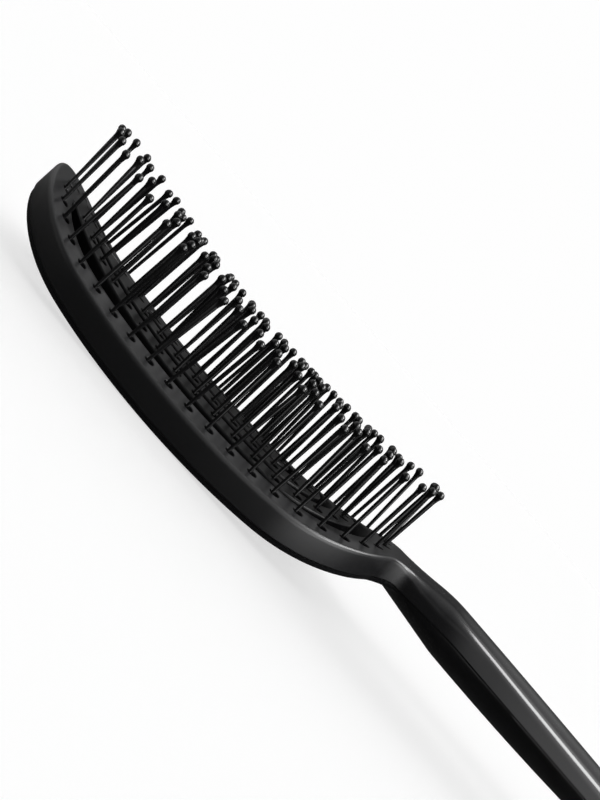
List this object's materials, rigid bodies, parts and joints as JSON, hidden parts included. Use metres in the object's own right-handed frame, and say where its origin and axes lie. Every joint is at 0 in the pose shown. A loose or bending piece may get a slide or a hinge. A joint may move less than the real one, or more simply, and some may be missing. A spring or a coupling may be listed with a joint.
{
  "type": "detangling brush",
  "caption": "Vented detangling brush with a curved, domed head, slim pins with ball tips on seated strips, and a slim two-part handle with a hanging hole.",
  "frame": {"origin": "under the middle of the brush's length and width, at the height of the head's lowest edge", "axes": "+X from the handle to the tip of the head, +Z the way the pins point, +Y to the left side seen from above with the tip to the right"},
  "size_m": [0.236, 0.07, 0.0363],
  "materials": {
    "housing": "satin",
    "back": "polished",
    "pins": "polished"
  },
  "bodies": {
    "root": {"front_frame": "housing", "back_frame": "back", "rim_pins_left": "pins", "rim_pins_right": "pins", "outer_rib_pins_left": "pins", "outer_rib_pins_right": "pins", "inner_rib_pins_left": "pins", "inner_rib_pins_right": "pins", "spine_pins": "pins"}
  },
  "joints": []
}
